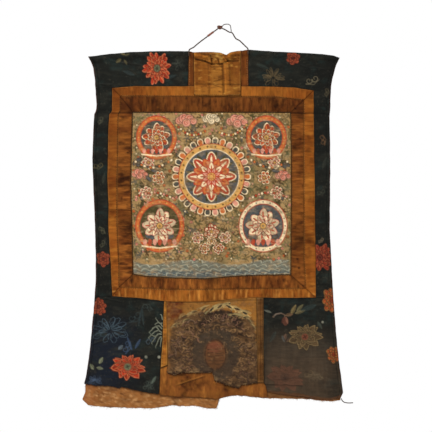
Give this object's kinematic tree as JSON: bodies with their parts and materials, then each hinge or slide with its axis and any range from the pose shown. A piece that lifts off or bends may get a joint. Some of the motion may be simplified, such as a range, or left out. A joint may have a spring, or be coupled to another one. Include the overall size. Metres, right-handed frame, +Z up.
{
  "type": "thangka scroll painting",
  "caption": "Painted cloth in a mount of blue brocade and orange silk borders, lined at the back, hung flat by a knotted cord.",
  "frame": {"origin": "the point inside the eye of the cord where a nail takes it", "axes": "+Z up along the hanging cloth, -Y out of the painted front, +X to the viewer's right"},
  "size_m": [0.6482, 0.0258, 0.923],
  "materials": {
    "brocade": "dull figured silk, worn",
    "orange_silk": "ribbed silk, worn",
    "gold_silk": "soft plain silk, wrinkled",
    "brown_silk": "ribbed silk, faded in streaks",
    "door_brocade": "figured silk, worn and soiled",
    "painted_cloth": "matt paint on sized cotton",
    "lining_cotton": "coarse plain cotton",
    "cord": "twisted yarn",
    "cord_binding": "wound thread"
  },
  "bodies": {
    "root": {"brocade_top_left": "brocade", "brocade_top_right": "brocade", "brocade_side_left": "brocade", "brocade_side_right": "brocade", "brocade_bottom_left": "brocade", "brocade_bottom_right": "brocade", "top_strip_left": "orange_silk", "top_strip_right": "orange_silk", "outer_border_top": "orange_silk", "outer_border_right": "orange_silk", "outer_border_bottom": "orange_silk", "outer_border_left": "orange_silk", "door_strip_left": "orange_silk", "door_strip_right": "orange_silk", "top_gold_panel": "gold_silk", "foot_strip": "gold_silk", "inner_border_top": "brown_silk", "inner_border_right": "brown_silk", "inner_border_bottom": "brown_silk", "inner_border_left": "brown_silk", "door_panel": "door_brocade", "painting": "painted_cloth", "lining": "lining_cotton", "cord_left": "cord", "cord_middle": "cord", "cord_right": "cord", "cord_eye": "cord", "corner_tail": "cord", "cord_wrap": "cord_binding", "cord_knot": "cord_binding"}
  },
  "joints": []
}
